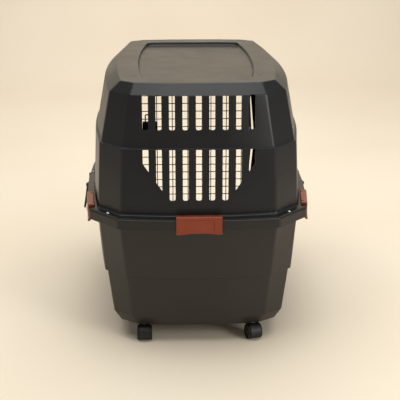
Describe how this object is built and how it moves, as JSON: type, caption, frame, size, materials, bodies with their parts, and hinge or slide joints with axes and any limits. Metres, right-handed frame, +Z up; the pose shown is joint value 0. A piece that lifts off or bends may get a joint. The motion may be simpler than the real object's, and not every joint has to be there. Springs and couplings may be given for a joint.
{
  "type": "wheeled pet travel crate",
  "caption": "Wheeled pet travel crate: faceted tub and vented hood held by hinged latches, with a barred swing door, spring lock, drop handles and twin-wheel castors.",
  "frame": {"origin": "on the floor, below the middle of the closed crate's box", "axes": "+Y towards the door end, +X to the right of someone who stands behind the rear end and faces the door, +Z up"},
  "size_m": [0.774, 1.068, 0.837],
  "materials": {
    "hood_plastic": "fine grained, satin",
    "tub_plastic": "fine grained, satin",
    "latch_plastic": "satin",
    "black_plastic": "matte",
    "castor_rubber": "matte",
    "zinc_steel": "zinc plated",
    "door_wire": "satin coating"
  },
  "bodies": {
    "crate": {"bottom_shell": "tub_plastic", "top_shell": "hood_plastic", "shell_bolt_left_rear": "zinc_steel", "shell_bolt_left_middle": "zinc_steel", "shell_bolt_left_front": "zinc_steel", "shell_bolt_right_rear": "zinc_steel", "shell_bolt_right_middle": "zinc_steel", "shell_bolt_right_front": "zinc_steel", "shell_nut_left_rear": "zinc_steel", "shell_nut_left_middle": "zinc_steel", "shell_nut_left_front": "zinc_steel", "shell_nut_right_rear": "zinc_steel", "shell_nut_right_middle": "zinc_steel", "shell_nut_right_front": "zinc_steel", "latch_pin_rear": "zinc_steel", "latch_pin_left_rear": "zinc_steel", "latch_pin_left_front": "zinc_steel", "latch_pin_right_rear": "zinc_steel", "latch_pin_right_front": "zinc_steel", "castor_rear_left_plate": "zinc_steel", "castor_rear_right_plate": "zinc_steel", "castor_front_left_plate": "zinc_steel", "castor_front_right_plate": "zinc_steel"},
    "door": {"door_grid": "door_wire", "lock_housing": "black_plastic", "lock_back_plate": "black_plastic", "lock_spring_upper": "zinc_steel", "lock_spring_lower": "zinc_steel"},
    "bolt_upper": {"lock_bolt_upper": "zinc_steel"},
    "bolt_lower": {"lock_bolt_lower": "zinc_steel"},
    "latch_rear": {"latch_rear": "latch_plastic"},
    "latch_left_rear": {"latch_left_rear": "latch_plastic"},
    "latch_left_front": {"latch_left_front": "latch_plastic"},
    "latch_right_rear": {"latch_right_rear": "latch_plastic"},
    "latch_right_front": {"latch_right_front": "latch_plastic"},
    "handle_left": {"handle_left": "black_plastic"},
    "handle_right": {"handle_right": "black_plastic"},
    "castor_rear_left": {"castor_rear_left_hood": "black_plastic", "castor_rear_left_axle": "zinc_steel"},
    "castor_rear_left_wheel_left": {"castor_rear_left_wheel_left": "castor_rubber"},
    "castor_rear_left_wheel_right": {"castor_rear_left_wheel_right": "castor_rubber"},
    "castor_rear_right": {"castor_rear_right_hood": "black_plastic", "castor_rear_right_axle": "zinc_steel"},
    "castor_rear_right_wheel_left": {"castor_rear_right_wheel_left": "castor_rubber"},
    "castor_rear_right_wheel_right": {"castor_rear_right_wheel_right": "castor_rubber"},
    "castor_front_left": {"castor_front_left_hood": "black_plastic", "castor_front_left_axle": "zinc_steel"},
    "castor_front_left_wheel_left": {"castor_front_left_wheel_left": "castor_rubber"},
    "castor_front_left_wheel_right": {"castor_front_left_wheel_right": "castor_rubber"},
    "castor_front_right": {"castor_front_right_hood": "black_plastic", "castor_front_right_axle": "zinc_steel"},
    "castor_front_right_wheel_left": {"castor_front_right_wheel_left": "castor_rubber"},
    "castor_front_right_wheel_right": {"castor_front_right_wheel_right": "castor_rubber"}
  },
  "joints": [
    {"name": "door_swing", "type": "hinge", "parent": "crate", "child": "door", "pos_m": [0.25755, 0.513, 0.3884], "axis": [0, 0, -1], "range_deg": [0, 170]},
    {"name": "lock_upper_slide", "type": "slide", "parent": "door", "child": "bolt_upper", "axis": [0, 0, -1], "range_m": [0, 0.011], "stiffness_N_per_m": 300, "springref_m": -0.012, "deforming": ["lock_spring_upper"]},
    {"name": "lock_lower_slide", "type": "slide", "parent": "door", "child": "bolt_lower", "axis": [0, 0, 1], "range_m": [0, 0.011], "stiffness_N_per_m": 300, "springref_m": -0.012, "deforming": ["lock_spring_lower"]},
    {"name": "latch_rear_swing", "type": "hinge", "parent": "crate", "child": "latch_rear", "pos_m": [0, -0.5135, 0.4448], "axis": [-1, 0, 0], "range_deg": [0, 105]},
    {"name": "latch_left_rear_swing", "type": "hinge", "parent": "crate", "child": "latch_left_rear", "pos_m": [-0.33213, -0.32331, 0.4448], "axis": [-0.1114, 0.9938, 0], "range_deg": [0, 105]},
    {"name": "latch_left_front_swing", "type": "hinge", "parent": "crate", "child": "latch_left_front", "pos_m": [-0.33213, 0.32331, 0.4448], "axis": [0.1114, 0.9938, 0], "range_deg": [0, 105]},
    {"name": "latch_right_rear_swing", "type": "hinge", "parent": "crate", "child": "latch_right_rear", "pos_m": [0.33213, -0.32331, 0.4448], "axis": [-0.1114, -0.9938, 0], "range_deg": [0, 105]},
    {"name": "latch_right_front_swing", "type": "hinge", "parent": "crate", "child": "latch_right_front", "pos_m": [0.33213, 0.32331, 0.4448], "axis": [0.1114, -0.9938, 0], "range_deg": [0, 105]},
    {"name": "handle_left_swing", "type": "hinge", "parent": "crate", "child": "handle_left", "pos_m": [-0.3705, 0, 0.4135], "axis": [0, 1, 0], "range_deg": [0, 80]},
    {"name": "handle_right_swing", "type": "hinge", "parent": "crate", "child": "handle_right", "pos_m": [0.3705, 0, 0.4135], "axis": [0, -1, 0], "range_deg": [0, 80]},
    {"name": "castor_rear_left_swivel", "type": "hinge", "parent": "crate", "child": "castor_rear_left", "pos_m": [-0.1725, -0.409, 0.045], "axis": [0, 0, 1], "continuous": true},
    {"name": "castor_rear_left_roll_left", "type": "hinge", "parent": "castor_rear_left", "child": "castor_rear_left_wheel_left", "pos_m": [-0.1725, -0.423, 0.02437], "axis": [1, 0, 0], "continuous": true},
    {"name": "castor_rear_left_roll_right", "type": "hinge", "parent": "castor_rear_left", "child": "castor_rear_left_wheel_right", "pos_m": [-0.1725, -0.423, 0.02437], "axis": [1, 0, 0], "continuous": true},
    {"name": "castor_rear_right_swivel", "type": "hinge", "parent": "crate", "child": "castor_rear_right", "pos_m": [0.1725, -0.409, 0.045], "axis": [0, 0, 1], "continuous": true},
    {"name": "castor_rear_right_roll_left", "type": "hinge", "parent": "castor_rear_right", "child": "castor_rear_right_wheel_left", "pos_m": [0.17659, -0.42239, 0.02437], "axis": [0.9563, 0.2924, 0], "continuous": true},
    {"name": "castor_rear_right_roll_right", "type": "hinge", "parent": "castor_rear_right", "child": "castor_rear_right_wheel_right", "pos_m": [0.17659, -0.42239, 0.02437], "axis": [0.9563, 0.2924, 0], "continuous": true},
    {"name": "castor_front_left_swivel", "type": "hinge", "parent": "crate", "child": "castor_front_left", "pos_m": [-0.1725, 0.409, 0.045], "axis": [0, 0, 1], "continuous": true},
    {"name": "castor_front_left_roll_left", "type": "hinge", "parent": "castor_front_left", "child": "castor_front_left_wheel_left", "pos_m": [-0.17445, 0.39514, 0.02437], "axis": [0.9903, -0.1392, 0], "continuous": true},
    {"name": "castor_front_left_roll_right", "type": "hinge", "parent": "castor_front_left", "child": "castor_front_left_wheel_right", "pos_m": [-0.17445, 0.39514, 0.02437], "axis": [0.9903, -0.1392, 0], "continuous": true},
    {"name": "castor_front_right_swivel", "type": "hinge", "parent": "crate", "child": "castor_front_right", "pos_m": [0.1725, 0.409, 0.045], "axis": [0, 0, 1], "continuous": true},
    {"name": "castor_front_right_roll_left", "type": "hinge", "parent": "castor_front_right", "child": "castor_front_right_wheel_left", "pos_m": [0.17372, 0.39505, 0.02437], "axis": [0.9962, 0.0872, 0], "continuous": true},
    {"name": "castor_front_right_roll_right", "type": "hinge", "parent": "castor_front_right", "child": "castor_front_right_wheel_right", "pos_m": [0.17372, 0.39505, 0.02437], "axis": [0.9962, 0.0872, 0], "continuous": true}
  ],
  "couplings": [
    {"joint": "lock_lower_slide", "follows": "lock_upper_slide", "ratio": 1}
  ]
}
